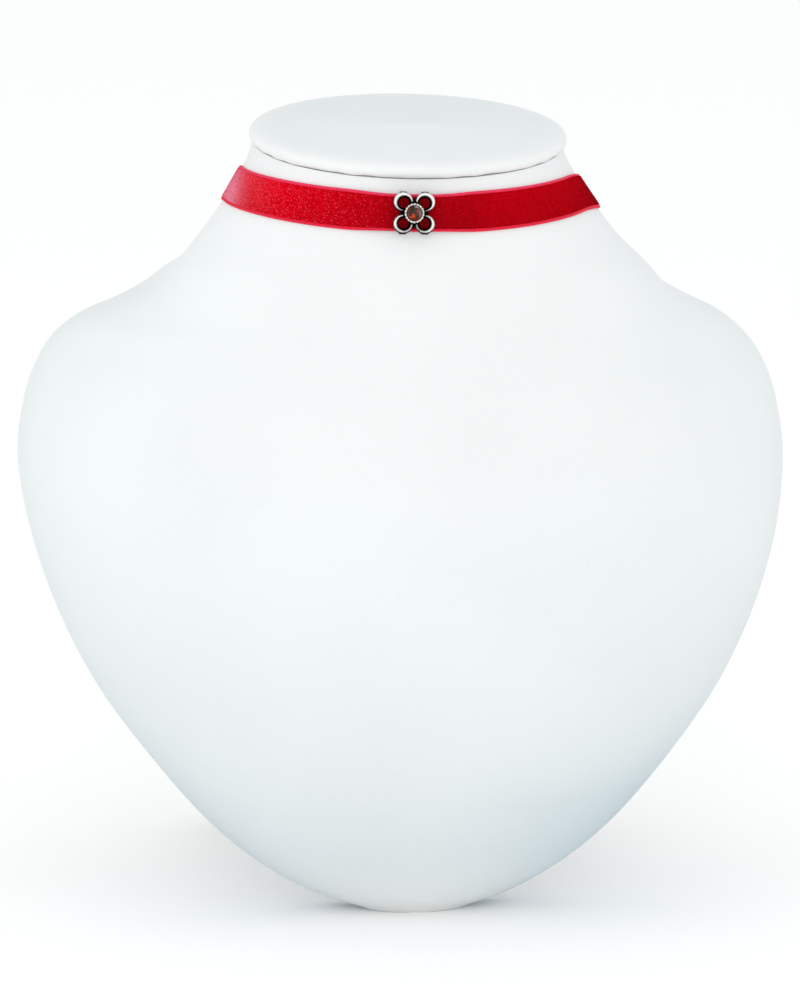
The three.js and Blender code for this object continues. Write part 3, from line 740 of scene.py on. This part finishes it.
def woven_selvedge():
    """The bare weave: fine ribs across the edge, pink at the upper edge and, by painted shade, redder and
    darker at the lower.
    """
    material, tree, shader = finish(
        "woven selvedge", Roughness=0.8, Sheen_Weight=0.05, Specular_IOR_Level=0.1
    )
    lie = add(tree, "ShaderNodeUVMap", uv_map="along the ribbon").outputs["UV"]
    picks = add(tree, "ShaderNodeTexWave", [(lie, "Vector")], Scale=0.55, Distortion=1.2, Detail=1)
    tone = colours(tree, picks.outputs["Fac"], [(0.1, (0.6, 0.016, 0.055)), (0.9, (0.95, 0.06, 0.14))])
    across = add(tree, "ShaderNodeSeparateXYZ", [(lie, "Vector")]).outputs["Y"]
    # painted shade: the lower selvedge is made redder and darker than the upper one
    lower_edge = maths(tree, "LESS_THAN", across, 0.0)
    lower_edge_shaded = blend(tree, "MULTIPLY", maths(tree, "MULTIPLY", lower_edge, 0.8), tone, (0.92, 0.35, 0.4))
    tree.links.new(lower_edge_shaded, shader.inputs["Base Color"])
    bump(tree, shader, picks.outputs["Fac"], 0.6, 0.0001)
    return material


selvedge = woven_selvedge()

# %% [markdown]
# The ribbon's cloth. Its outline across is a thin ground, thicker where the pile will stand, with a low
# rounded selvedge at each edge. A UV map in millimetres, along and across, lets the weave follow the ribbon
# round the neck.

# %% The ribbon's cloth
RIBBON_RINGS = 460
ribbon_half = RIBBON_WIDTH / 2
pile_half = ribbon_half - SELVEDGE_WIDTH

front_outline = [
    (ribbon_half, 0.25), (ribbon_half - 0.08, 0.62), (ribbon_half - 0.3, 0.82),
    (ribbon_half - 0.62, 0.82), (pile_half + 0.06, 0.6), (pile_half, GROUND_THICKNESS),
]
ground = [(a, GROUND_THICKNESS + 0.1) for a in np.linspace(pile_half - 0.3, -pile_half + 0.3, 15)]
mirrored = [(-a, out) for a, out in reversed(front_outline)]
back_outline = [(a, 0.0) for a in np.linspace(-ribbon_half + 0.1, ribbon_half - 0.1, 9)]
cloth_outline = front_outline + ground + mirrored + back_outline
cloth = band_rings(-RIBBON_END, RIBBON_END, RIBBON_RINGS, cloth_outline)
cloth_sides = len(cloth_outline)
ribbon = new_piece(
    "ribbon_cloth",
    cloth.reshape(-1, 3),
    [tuple(reversed(f)) for f in loft_faces(RIBBON_RINGS, cloth_sides)],
    [velvet_ground, selvedge],
    sharp=70,
)

acrosses = np.array([a for a, _ in cloth_outline])
is_edge = np.abs(acrosses) > pile_half + 0.01
alongs = np.linspace(0, RIBBON_LENGTH, RIBBON_RINGS)
uv = ribbon.data.uv_layers.new(name="along the ribbon")
corner_vertex = np.empty(len(ribbon.data.loops), int)
ribbon.data.loops.foreach_get("vertex_index", corner_vertex)
uv_values = np.stack([alongs[corner_vertex // cloth_sides], acrosses[corner_vertex % cloth_sides]], -1)
uv.data.foreach_set("uv", uv_values.ravel())
for polygon in ribbon.data.polygons:
    if len(polygon.vertices) == 4 and sum(is_edge[v % cloth_sides] for v in polygon.vertices) >= 2:
        polygon.material_index = 1
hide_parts("velvet_ribbon")

# %% [markdown]
# The pile. Real velvet has about a hundred tufts to the square millimetre. A sixth of that, each a
# three-sided point, already reads as pile. Geometry Nodes scatters them over a copy of the ground: points on
# the faces, a cone on each point, turned along the surface and leaned a little at random.

# %% The pile's Geometry Nodes


def pile_tree():
    """A Geometry Nodes tree that makes the pile from the ground that it stands on."""
    tree = bpy.data.node_groups.new("velvet pile", "GeometryNodeTree")
    face = tree.interface
    face.new_socket("Ground", in_out="INPUT", socket_type="NodeSocketGeometry")
    for label, kind in (
        ("Tufts per square metre", "NodeSocketFloat"),
        ("Tuft radius", "NodeSocketFloat"),
        ("Tuft length", "NodeSocketFloat"),
        ("Lean", "NodeSocketFloat"),
        ("Seed", "NodeSocketInt"),
        ("Finish", "NodeSocketMaterial"),
    ):
        face.new_socket(label, in_out="INPUT", socket_type=kind)
    face.new_socket("Pile", in_out="OUTPUT", socket_type="NodeSocketGeometry")
    given = tree.nodes.new("NodeGroupInput").outputs
    made = tree.nodes.new("NodeGroupOutput")

    scatter = add(
        tree,
        "GeometryNodeDistributePointsOnFaces",
        [(given["Ground"], "Mesh"), (given["Tufts per square metre"], "Density"), (given["Seed"], "Seed")],
    )
    tuft = add(
        tree,
        "GeometryNodeMeshCone",
        [(given["Tuft radius"], "Radius Bottom"), (given["Tuft length"], "Depth")],
        fill_type="NONE",
        Vertices=3,
    )
    sway = add(tree, "FunctionNodeRandomValue", [(given["Seed"], "Seed")], data_type="FLOAT_VECTOR")
    sway.inputs[0].default_value = (-1, -1, -3.14)
    sway.inputs[1].default_value = (1, 1, 3.14)
    scaled = add(tree, "ShaderNodeVectorMath", [(sway.outputs[0], 0)], operation="MULTIPLY")
    sizes = add(tree, "ShaderNodeCombineXYZ", [(given["Lean"], "X"), (given["Lean"], "Y")], Z=1.0)
    tree.links.new(sizes.outputs[0], scaled.inputs[1])
    turned = add(tree, "FunctionNodeEulerToRotation", [(scaled.outputs[0], 0)])
    stood = add(
        tree,
        "FunctionNodeRotateRotation",
        [(scatter.outputs["Rotation"], "Rotation"), (turned.outputs[0], "Rotate By")],
        rotation_space="LOCAL",
    )
    height = add(tree, "FunctionNodeRandomValue", [(given["Seed"], "Seed")], data_type="FLOAT")
    height.inputs[2].default_value = 0.75
    height.inputs[3].default_value = 1.15
    placed = add(
        tree,
        "GeometryNodeInstanceOnPoints",
        [
            (scatter.outputs["Points"], "Points"),
            (tuft.outputs["Mesh"], "Instance"),
            (stood.outputs[0], "Rotation"),
            (height.outputs[1], "Scale"),
        ],
    )
    real = add(tree, "GeometryNodeRealizeInstances", [(placed.outputs[0], "Geometry")])
    dyed = add(
        tree,
        "GeometryNodeSetMaterial",
        [(real.outputs[0], "Geometry"), (given["Finish"], "Material")],
    )
    tree.links.new(dyed.outputs[0], made.inputs["Pile"])
    return tree


def run_tree(obj, tree, values):
    """The mesh that a Geometry Nodes tree makes from an object, with its inputs set by their names."""
    modifier = obj.modifiers.new(tree.name, "NODES")
    modifier.node_group = tree
    for item in tree.interface.items_tree:
        if item.in_out == "INPUT" and item.name in values:
            modifier[item.identifier] = values[item.name]
    whole = obj.evaluated_get(bpy.context.evaluated_depsgraph_get())
    mesh = bpy.data.meshes.new_from_object(whole)
    obj.modifiers.remove(modifier)
    return mesh


# %% The pile
PILE_RINGS, PILE_COLUMNS = 300, 12
PILE_MARGIN, PILE_LIFT = 0.1, 0.12
PILE_END = RIBBON_END - 0.02
columns = np.linspace(pile_half - PILE_MARGIN, -pile_half + PILE_MARGIN, PILE_COLUMNS)
strip_outline = [(a, GROUND_THICKNESS + PILE_LIFT) for a in columns]
strip = band_rings(-PILE_END, PILE_END, PILE_RINGS, strip_outline)
strip_faces = []
for i in range(PILE_RINGS - 1):
    for k in range(PILE_COLUMNS - 1):
        a = i * PILE_COLUMNS + k
        strip_faces.append((a, a + PILE_COLUMNS, a + PILE_COLUMNS + 1, a + 1))
strip_mesh = bpy.data.meshes.new("pile ground")
strip_mesh.from_pydata(to_metres(strip.reshape(-1, 3)).tolist(), [], strip_faces)
strip_object = bpy.data.objects.new("pile ground", strip_mesh)
scene.collection.objects.link(strip_object)
pile_mesh = run_tree(
    strip_object,
    pile_tree(),
    {
        "Tufts per square metre": 1.7e7,
        "Tuft radius": 0.00016,
        "Tuft length": 0.00062,
        "Lean": 0.35,
        "Seed": 7,
        "Finish": velvet_pile,
    },
)
bpy.data.objects.remove(strip_object)
pile_mesh.polygons.foreach_set("use_smooth", [True] * len(pile_mesh.polygons))
pile = bpy.data.objects.new("velvet_pile", pile_mesh)
scene.collection.objects.link(pile)
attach(pile, "root")
print("pile:", len(pile_mesh.polygons) // 3, "tufts")

# %% [markdown]
# Old silver. The caster blackens the whole flower, then polishes what a cloth can reach, so the tops are
# bright and every hollow stays black. Each point is given how black it is, in a value that the material
# reads:
# mostly how deep it lies, and on the petals also painted shade on the lower petals, the sides facing down
# and the outer edges. Along it the finish turns from bright metal to a black, dull one, broken up by a
# little noise.

# %% Blackened silver


def blackened_silver():
    material, tree, shader = finish("blackened silver", Metallic=1)
    place = object_place(tree)
    depth = add(tree, "ShaderNodeAttribute", attribute_name="tarnish_and_shade").outputs["Fac"]
    grime = add(tree, "ShaderNodeTexNoise", [(place, "Vector")], Scale=1800, Detail=4).outputs["Fac"]
    spread = maths(tree, "MULTIPLY", maths(tree, "SUBTRACT", grime, 0.5), 0.5)
    black = maths(tree, "ADD", depth, spread)
    stops = [
        (0.12, (0.68, 0.68, 0.66)),
        (0.35, (0.38, 0.37, 0.36)),
        (0.6, (0.06, 0.055, 0.055)),
        (0.8, (0.006, 0.006, 0.006)),
    ]
    tree.links.new(colours(tree, black, stops), shader.inputs["Base Color"])
    tree.links.new(levels(tree, black, [(0.2, 0.28), (0.75, 0.6)]), shader.inputs["Roughness"])
    bump(tree, shader, grime, 0.25, 0.00008)
    return material


silver = blackened_silver()

# %% [markdown]
# The flower, in its own frame: x along the ribbon, y up across it, z out of the pile. Each petal is a ring
# whose hole sits nearer the flower's middle, so it is a crescent: thick outside, thin inside. The cup's wall
# is milled into small scallops that grip the stone.

# %% The flower's sizes
PETAL_HEIGHT = 1.7
PETAL_HOLE_RADIUS = 1.55
PETAL_HOLE_SHIFT = 0.3
WEB_REACH = 4.1
WEB_WIDTH = 1.3
WEB_HEIGHT = 0.6
CUP_RADIUS = 2.95
CUP_HEIGHT = 2.7
CUP_WALL = 0.45
CUP_FLOOR = 0.8
CUP_SCALLOPS = 18
SCALLOP_DEPTH = 0.12
SLIDER_SIDE_CLEARANCE = 0.3
LOOP_WIDTH = 2
PETAL_SIDES = 72
POINTS_PER_SCALLOP = 12

seat_centre, seat_along, seat_across, seat_out = (v[0] for v in ribbon_axes(np.array([FLOWER_TURN])))
seat_lift = float(stand_off(np.array([FLOWER_TURN]))[0]) + RIBBON_THICKNESS


def from_flower(points):
    """Points in the flower's own frame, mm, to mm from the back line."""
    points = np.asarray(points, float)
    x, y, z = points[..., 0:1], points[..., 1:2], points[..., 2:3] + seat_lift
    return seat_centre + x * seat_along + y * seat_across + z * seat_out


# %% Petals, cup, webs and loops
flower_points, flower_faces, flower_tarnish_and_shade = [], [], []


def add_part(rings, tarnish_and_shade, closed=False):
    """Adds a loft of rings, in the flower's frame, with how black each of its points is."""
    rings = np.asarray(rings, float)
    start = sum(len(p) for p in flower_points)
    flower_faces.extend(loft_faces(rings.shape[0], rings.shape[1], closed=closed, start=start))
    flower_points.append(rings.reshape(-1, 3))
    flower_tarnish_and_shade.append(np.clip(np.asarray(tarnish_and_shade, float).reshape(-1), 0, 1))


# across the ring from the hole (0) to the outside (1), and up to the ridge (1)
PETAL_PROFILE = np.array(
    [
        (0, 0), (0, 0.3), (0.05, 0.5), (0.14, 0.67), (0.24, 0.8),
        (0.34, 0.89), (0.45, 0.95), (0.58, 0.99), (0.7, 1), (0.79, 0.98),
        (0.88, 0.91), (0.95, 0.79), (0.99, 0.64), (1, 0.5), (1, 0),
    ]
)


def add_petal(sideways, upwards):
    """A petal at one corner of the flower: sideways and upwards are each -1 or 1."""
    centre = np.array([sideways, upwards]) * PETAL_OFFSET
    hole = centre * (1 - PETAL_HOLE_SHIFT / np.linalg.norm(centre))
    wide, high = PETAL_PROFILE.T
    rings, black = [], []
    for turn in turns(PETAL_SIDES):
        way = np.array([math.cos(turn), math.sin(turn)])
        inner, outer = hole + way * PETAL_HOLE_RADIUS, centre + way * PETAL_RADIUS
        flat = inner + (outer - inner) * wide[:, None]
        towards_cup = np.clip((CUP_RADIUS + 0.75 - np.hypot(*flat.T)) / 0.5, 0, 1)
        rings.append(np.column_stack([flat, SLIDER_CLEARANCE + high * PETAL_HEIGHT]))
        inward = (1 - way @ centre / np.linalg.norm(centre)) / 2
        # black in the hole, at the foot and at the cup, greyer towards the flower's middle; painted shade
        # greys the lower petals, the sides facing down and the outer edge
        inside = np.clip((0.46 + 0.3 * inward - wide) / 0.28, 0, 1)
        low = np.clip((0.62 - high) / 0.36, 0, 1) * 0.8
        patina_and_painted_shade = 0.1 * (upwards < 0) + 0.25 * inward**2
        patina_and_painted_shade = patina_and_painted_shade + 0.6 * max(-way[1], 0) * np.clip((wide - 0.45) / 0.4, 0, 1)
        outer_edge = 0.26 * np.clip((wide - 0.84) / 0.12, 0, 1)
        black.append(np.maximum.reduce([inside, low, towards_cup, patina_and_painted_shade + outer_edge]))
    add_part(rings, black, closed=True)


for sideways in (-1, 1):
    for upwards in (-1, 1):
        add_petal(sideways, upwards)


def add_cup():
    """The cup for the stone: a wall that swells into scallops, over the lip and down to a floor."""
    around = turns(CUP_SCALLOPS * POINTS_PER_SCALLOP)
    ridge = np.abs(np.sin(around * CUP_SCALLOPS / 2)) ** 0.8
    inner = CUP_RADIUS - CUP_WALL - SCALLOP_DEPTH
    floor = SLIDER_CLEARANCE + CUP_FLOOR
    top = SLIDER_CLEARANCE + CUP_HEIGHT
    # out from the scallops' foot, height, share of the scallop, tarnish
    profile = [
        (-2.4, SLIDER_CLEARANCE, 0, 1),
        (0.1, SLIDER_CLEARANCE, 0, 1),
        (0.1, SLIDER_CLEARANCE + 0.9, 0, 1),
        (-0.16, SLIDER_CLEARANCE + 1.3, 0, 1),
        (-0.14, SLIDER_CLEARANCE + 1.7, 0.4, 0.85),
        (-0.02, SLIDER_CLEARANCE + 2.0, 1, 0.45),
        (0.02, SLIDER_CLEARANCE + 2.25, 1, 0.25),
        (-0.04, SLIDER_CLEARANCE + 2.5, 1, 0.15),
        (-0.16, SLIDER_CLEARANCE + 2.66, 0.6, 0.12),
        (-0.3, top, 0.2, 0.2),
    ]

    def round_ring(radius, z):
        x, y = radius * np.cos(around), radius * np.sin(around)
        return np.column_stack([x, y, np.full(len(around), z)])

    rings, black = [], []
    for out, z, share, dark in profile:
        rings.append(round_ring(CUP_RADIUS - SCALLOP_DEPTH + out + share * SCALLOP_DEPTH * ridge, z))
        black.append(np.full(len(around), dark) + 0.6 * share * (1 - ridge))
    for radius, z, dark in (
        (inner + 0.02, top - 0.06, 0.3),
        (inner, top - 0.14, 0.6),
        (inner, floor, 1),
        (0.4, floor, 1),
    ):
        rings.append(round_ring(radius, z))
        black.append(np.full(len(around), dark))
    add_part(rings, black)


def rounded_box(low, high, dark, soft=0.12):
    """A box with softened edges along z, lofted upwards."""
    (x0, y0, z0), (x1, y1, z1) = low, high
    rings, black = [], []
    for z, inset in ((z0, soft), (z0 + soft, 0), (z1 - soft, 0), (z1, soft)):
        a, b, c, d = x0 + inset, x1 - inset, y0 + inset, y1 - inset
        corners = [(a + soft, c), (b - soft, c), (b, c + soft), (b, d - soft)]
        corners += [(b - soft, d), (a + soft, d), (a, d - soft), (a, c + soft)]
        rings.append([(x, y, z) for x, y in corners])
        black.append([dark] * len(corners))
    add_part(rings, black)


add_cup()
LOOP_TARNISH, POST_TARNISH = 0.5, 0.6
level = SLIDER_CLEARANCE
loop_top = level + PETAL_HEIGHT * 0.5
rounded_box((-WEB_REACH, -WEB_WIDTH / 2, level), (WEB_REACH, WEB_WIDTH / 2, level + WEB_HEIGHT), 1)
rounded_box((-WEB_WIDTH / 2, -WEB_REACH, level), (WEB_WIDTH / 2, WEB_REACH, level + WEB_HEIGHT), 1)

slot = RIBBON_WIDTH / 2 - RIBBON_PINCH + SLIDER_SIDE_CLEARANCE
loop_edge = slot + LOOP_THICKNESS
behind = -RIBBON_THICKNESS - SLIDER_CLEARANCE
for side in (-1, 1):
    left, right = side * PETAL_OFFSET - LOOP_WIDTH / 2, side * PETAL_OFFSET + LOOP_WIDTH / 2
    rounded_box((left, -loop_edge, behind - LOOP_THICKNESS), (right, loop_edge, behind), LOOP_TARNISH)
    for end in (-1, 1):
        y0, y1 = sorted((end * slot, end * loop_edge))
        rounded_box((left, y0, behind - LOOP_THICKNESS), (right, y1, loop_top), LOOP_TARNISH)
        y0, y1 = sorted((end * (PETAL_OFFSET + PETAL_HOLE_RADIUS), end * loop_edge))
        rounded_box((left, y0, level), (right, y1, loop_top), POST_TARNISH)

flower = new_piece(
    "cast_flower", from_flower(np.concatenate(flower_points)), flower_faces, [silver], sharp=45
)
give(flower, "tarnish_and_shade", np.concatenate(flower_tarnish_and_shade))
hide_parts("flower_slider")
print("flower:", len(flower.data.polygons), "faces")

# %% [markdown]
# The stone keeps its CAD facets: they are flat and sharp, as cut facets are. A dark red-brown stone shows
# the deep colour of its far side in patches: glowing orange-red at the lower left, where light from above
# leaves it, nearly black in the middle, and a greyish mauve at the upper right, where the crown mirrors the
# tent.

# %% The stone
MAUVE = (0.42, 0.25, 0.26)
stone = nodes["centre_stone"]
stone_corners = np.array([v.co for v in stone.data.vertices])
stone_low, stone_high = stone_corners.min(0), stone_corners.max(0)


def across_stone(tree, place, direction):
    """0 to 1 across the stone in a direction."""
    along = add(tree, "ShaderNodeVectorMath", [(place, 0)], operation="DOT_PRODUCT")
    along.inputs[1].default_value = direction
    share = add(tree, "ShaderNodeMapRange", [(along.outputs["Value"], "Value")])
    share.inputs["From Min"].default_value = float(stone_low @ np.array(direction))
    share.inputs["From Max"].default_value = float(stone_high @ np.array(direction))
    return share.outputs["Result"]


def red_brown_stone():
    material, tree, shader = finish(
        "red-brown stone", Roughness=0.06, IOR=1.5, Specular_IOR_Level=0.14
    )
    place = object_place(tree)
    patches = add(tree, "ShaderNodeTexVoronoi", [(place, "Vector")], Scale=1250, Randomness=1)
    chance = add(tree, "ShaderNodeSeparateColor", [(patches.outputs["Color"], 0)]).outputs[0]
    up_right = maths(tree, "MULTIPLY", across_stone(tree, place, (0.6, 0, 1)), 0.7)
    depth = maths(tree, "ADD", maths(tree, "MULTIPLY", chance, 0.5), up_right)
    stops = [
        (0.34, (0.55, 0.04, 0.005)),
        (0.4, (0.22, 0.014, 0.003)),
        (0.48, (0.03, 0.01, 0.003)),
        (0.6, (0.12, 0.012, 0.004)),
        (0.7, (0.035, 0.02, 0.006)),
        (0.85, (0.012, 0.009, 0.003)),
    ]
    tone = colours(tree, depth, stops)
    mirrored = levels(tree, across_stone(tree, place, (1, 0, 0.5)), [(0.58, 0), (0.76, 1)])
    veiled = blend(tree, "MIX", maths(tree, "MULTIPLY", mirrored, chance), tone, MAUVE)
    tree.links.new(veiled, shader.inputs["Base Color"])
    return material


stone.data.materials.clear()
stone.data.materials.append(red_brown_stone())

# %% [markdown]
# The clasp closes the ribbon behind the neck. It is a small curved case with a mouth at each end, where the
# ribbon goes in. The loft starts at the bottom of one mouth, comes out over its lip, runs along the outside
# and goes down into the other mouth, so the whole case is one closed skin. A shallow dark groove runs round
# it near each mouth.

# %% The clasp
CLASP_SIDES, CLASP_RINGS = 48, 120
GROOVE_FROM_END, GROOVE_WIDTH, GROOVE_DEPTH = 1.4, 0.3, 0.04
CASE_SQUARENESS, MOUTH_SQUARENESS = 0.35, 0.2
LIP_SHRINK, LIP_DEPTH, LIP_ROUND = 0.93, 0.002, 0.006
CLASP_TARNISH, GROOVE_TARNISH = 0.15, 0.7


def rounded_outline(half, inner, outer, square):
    """A rounded rectangle across the ribbon, anticlockwise, as (across, out)."""
    angle = turns(CLASP_SIDES)
    across = half * signed_power(np.cos(angle), square)
    out = (inner + outer) / 2 + (outer - inner) / 2 * signed_power(np.sin(angle), square)
    return np.column_stack([across, -out + inner + outer])


clasp_half = RIBBON_WIDTH / 2 + CLASP_CLEARANCE
case = rounded_outline(
    clasp_half + CLASP_WALL,
    -CLASP_CLEARANCE - CLASP_WALL,
    RIBBON_THICKNESS + CLASP_CLEARANCE + CLASP_WALL,
    CASE_SQUARENESS,
)
mouth = rounded_outline(
    clasp_half, -CLASP_CLEARANCE, RIBBON_THICKNESS + CLASP_CLEARANCE, MOUTH_SQUARENESS
)
mid = (RIBBON_THICKNESS / 2) * np.array([0, 1])
start, deep = back_turn(CLASP_LENGTH / 2), back_turn(CLASP_BRIDGE / 2)


def at_turn(turn, shape, shrink=1.0):
    """One ring of the clasp at a turn, shrunk about the ribbon's middle."""
    return band_rings(turn, turn, 1, (shape - mid) * shrink + mid)[0]


last = 2 * np.pi - start
clasp_rings = [at_turn(deep, mouth), at_turn(start + LIP_DEPTH, mouth), at_turn(start, case, LIP_SHRINK)]
groove = []
for turn in np.linspace(start + LIP_ROUND, last - LIP_ROUND, CLASP_RINGS):
    from_end = min(turn - start, last - turn) * NECK_WIDTH / 2
    groove.append(math.exp(-(((from_end - GROOVE_FROM_END) / GROOVE_WIDTH) ** 2)))
    clasp_rings.append(at_turn(turn, case, 1 - GROOVE_DEPTH * groove[-1]))
clasp_rings += [at_turn(last, case, LIP_SHRINK), at_turn(last - LIP_DEPTH, mouth)]
clasp_rings.append(at_turn(2 * np.pi - deep, mouth))
clasp_rings = np.array(clasp_rings)
clasp = new_piece(
    "closing_case",
    clasp_rings.reshape(-1, 3),
    [tuple(reversed(f)) for f in loft_faces(len(clasp_rings), CLASP_SIDES)],
    [silver],
    sharp=45,
)
clasp_tarnish = np.full(clasp_rings.shape[:2], CLASP_TARNISH)
clasp_tarnish[3:-3] += GROOVE_TARNISH * np.array(groove)[:, None]
clasp_tarnish[[0, 1, -1, -2]] = 1
give(clasp, "tarnish_and_shade", clasp_tarnish)
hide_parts("back_clasp")

# %% [markdown]
# The floor is a pale, matt sheet, and isn't part of the object.

# %% The floor
FLOOR_REACH = 6
paper, *_ = finish("pale paper", Base_Color=(1, 0.99, 0.985, 1), Roughness=0.9)
floor_mesh = bpy.data.meshes.new("floor")
floor_corners = [(x * FLOOR_REACH, y * FLOOR_REACH, 0) for x, y in ((-1, -1), (1, -1), (1, 1), (-1, 1))]
floor_mesh.from_pydata(floor_corners, [], [(0, 1, 2, 3)])
floor_mesh.materials.append(paper)
floor = bpy.data.objects.new("floor", floor_mesh)
scene.collection.objects.link(floor)
